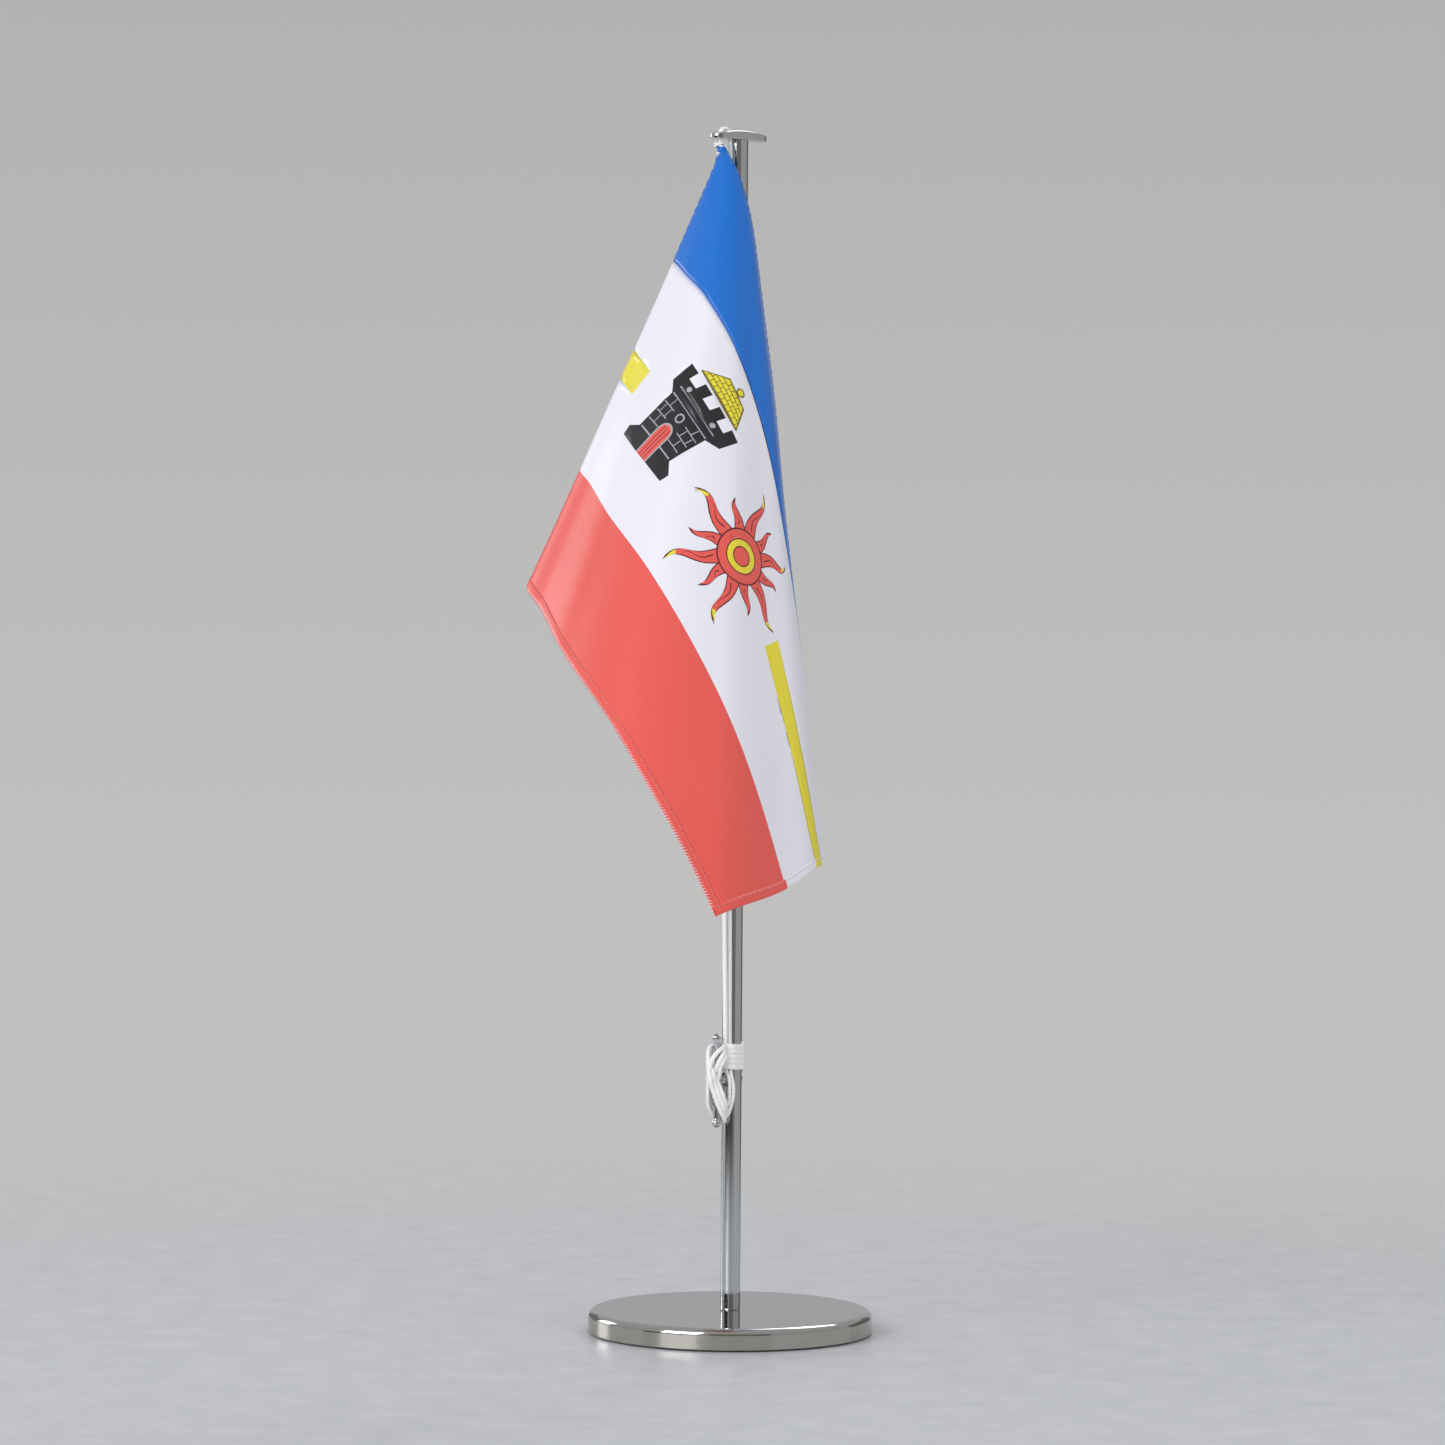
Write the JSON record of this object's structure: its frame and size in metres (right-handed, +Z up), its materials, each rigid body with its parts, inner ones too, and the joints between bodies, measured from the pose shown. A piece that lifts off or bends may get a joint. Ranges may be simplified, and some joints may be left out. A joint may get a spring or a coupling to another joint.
{
  "type": "desk flag stand",
  "caption": "Small striped cloth flag on a thin chromed pole with a round weighted base, top arm, cleat and cord.",
  "frame": {"origin": "centre of the base's underside, on the pole's axis", "axes": "+Z up along the pole, -Y towards the side that the flag's printed face is seen from"},
  "size_m": [0.1214, 0.1984, 0.4216],
  "materials": {
    "base_chrome": "polished rim, slightly satin top",
    "cast_weight": "rough cast",
    "felt": "felt",
    "screw_steel": "zinc plated",
    "pole_chrome": "polished",
    "insert_brass": "turned",
    "arm_chrome": "polished",
    "cord_white": "soft braid",
    "flag_satin": "printed satin"
  },
  "bodies": {
    "stand": {"base_shell": "base_chrome", "base_weight": "cast_weight", "base_felt": "felt", "base_screw": "screw_steel", "base_washer": "screw_steel", "pole_tube": "pole_chrome", "foot_insert": "insert_brass", "top_insert": "insert_brass", "top_arm": "arm_chrome", "arm_screw": "screw_steel", "cleat": "arm_chrome", "cleat_screw": "screw_steel", "halyard": "cord_white", "halyard_wrap": "cord_white", "halyard_cleat_turns": "cord_white"},
    "hoist_knot": {"stop_knot": "cord_white"},
    "flag": {"hoist_sleeve": "flag_satin", "flag_cloth": "flag_satin", "edge_hem": "flag_satin"}
  },
  "joints": [
    {"name": "hoist_slide", "type": "slide", "parent": "stand", "child": "hoist_knot", "axis": [-0.0126, -0.0071, 0.9999], "range_m": [-0.14, 0]},
    {"name": "flag_swing", "type": "hinge", "parent": "hoist_knot", "child": "flag", "pos_m": [-0.00629, -0.00809, 0.413], "axis": [-0.0126, -0.0071, 0.9999], "range_deg": [-85, 30]}
  ]
}
